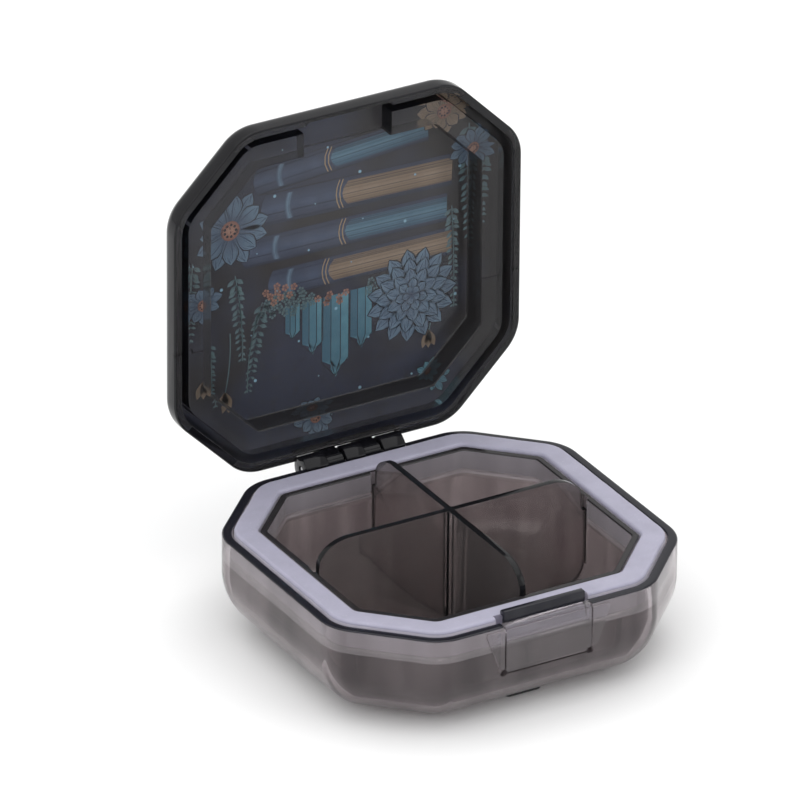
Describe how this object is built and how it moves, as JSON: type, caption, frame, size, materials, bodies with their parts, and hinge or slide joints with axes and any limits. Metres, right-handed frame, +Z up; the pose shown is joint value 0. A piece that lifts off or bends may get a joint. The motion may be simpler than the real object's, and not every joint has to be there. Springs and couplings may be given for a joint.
{
  "type": "pill box",
  "caption": "Pocket pill box, octagonal, smoke plastic, with a hinged lid, a soft seal, a press tab and a lift-out cross divider.",
  "frame": {"origin": "centre of the flat underside of the casing", "axes": "+Z up, front with the press tab towards -Y, hinge towards +Y"},
  "size_m": [0.07, 0.0755, 0.086],
  "materials": {
    "smoke_casing": "clear smoke, glossy",
    "smoke_tray": "clear smoke, glossy",
    "seal_silicone": "soft matte",
    "smoke_divider": "clear smoke, glossy",
    "smoke_tab": "clear smoke, satin",
    "smoke_lid": "dark smoke, glossy, printed",
    "pin_steel": "drawn wire",
    "foot_rubber": "matte"
  },
  "bodies": {
    "base": {"base_shell": "smoke_casing", "inner_tray": "smoke_tray", "seal_ring": "seal_silicone", "divider": "smoke_divider", "hinge_pin": "pin_steel", "foot_front": "foot_rubber", "foot_rear": "foot_rubber", "foot_left": "foot_rubber", "foot_right": "foot_rubber"},
    "lid": {"lid_shell": "smoke_lid"},
    "latch": {"latch_tab": "smoke_tab"}
  },
  "joints": [
    {"name": "lid_hinge", "type": "hinge", "parent": "base", "child": "lid", "pos_m": [0, 0.0344, 0.0184], "axis": [-1, 0, 0], "range_deg": [-90, 0]},
    {"name": "tab_press", "type": "hinge", "parent": "base", "child": "latch", "pos_m": [0, -0.03283, 0.0098], "axis": [-1, 0, 0], "range_deg": [0, 3.5], "stiffness_Nm_per_rad": 0.3}
  ]
}
